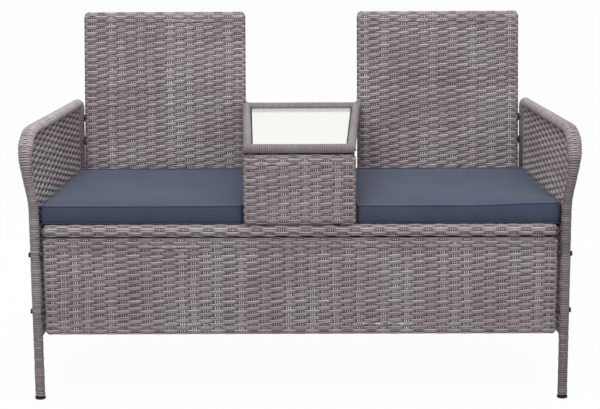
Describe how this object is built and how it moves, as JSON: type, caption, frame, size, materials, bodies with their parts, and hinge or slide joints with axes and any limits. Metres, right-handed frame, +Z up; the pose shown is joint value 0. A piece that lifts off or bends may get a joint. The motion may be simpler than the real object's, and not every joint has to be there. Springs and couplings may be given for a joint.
{
  "type": "rattan bench",
  "caption": "Two-seat woven resin patio bench with reclined backs, armrests, loose seat cushions and a raised table with a glass top between the seats.",
  "frame": {"origin": "on the floor under the middle of the bench, at the centre of the bottom of its bounding box", "axes": "+Z up, +X along the bench to the right as a viewer in front of it sees it, the front faces -Y"},
  "size_m": [1.3276, 0.5511, 0.8486],
  "materials": {
    "wicker": "satin woven resin strand",
    "steel": "black powder coat",
    "bolt": "black coated",
    "spacer": "moulded",
    "foot_cap": "moulded",
    "pad": "clear soft moulded",
    "glass": "tempered, opaque pale underside",
    "cushion": "woven polyester"
  },
  "bodies": {
    "frame": {"left_arm_tube": "steel", "right_arm_tube": "steel", "left_arm_rails": "steel", "right_arm_rails": "steel", "left_arm_wrap": "wicker", "right_arm_wrap": "wicker", "left_side_weave": "wicker", "right_side_weave": "wicker", "front_left_foot": "foot_cap", "front_right_foot": "foot_cap", "rear_left_foot": "foot_cap", "rear_right_foot": "foot_cap", "seat_frame": "steel", "seat_bars": "steel", "seat_weave": "wicker", "left_back_frame": "steel", "right_back_frame": "steel", "left_back_weave": "wicker", "right_back_weave": "wicker", "apron_frame": "steel", "apron_bars": "steel", "apron_weave": "wicker", "console_frame": "steel", "console_weave": "wicker", "table_frame": "steel", "table_wrap": "wicker", "table_plates": "steel", "glass_tabs": "steel", "glass_pads": "pad", "seat_side_bolts": "bolt", "seat_side_spacers": "spacer", "back_arm_bolts": "bolt", "back_arm_spacers": "spacer", "back_foot_bolts": "bolt", "back_foot_spacers": "spacer", "table_plate_bolts": "bolt", "console_top_bolts": "bolt", "console_low_bolts": "bolt", "console_spacers": "spacer", "apron_seat_bolts": "bolt", "apron_seat_spacers": "spacer", "apron_leg_bolts": "bolt", "apron_leg_spacers": "spacer"},
    "left_cushion": {"left_cushion": "cushion"},
    "right_cushion": {"right_cushion": "cushion"},
    "glass": {"glass_top": "glass"}
  },
  "joints": [
    {"name": "left_cushion_lift", "type": "slide", "parent": "frame", "child": "left_cushion", "axis": [0, 0, 1], "range_m": [0, 0.25]},
    {"name": "right_cushion_lift", "type": "slide", "parent": "frame", "child": "right_cushion", "axis": [0, 0, 1], "range_m": [0, 0.25]},
    {"name": "glass_lift", "type": "slide", "parent": "frame", "child": "glass", "axis": [0, 0, 1], "range_m": [0, 0.15]}
  ]
}
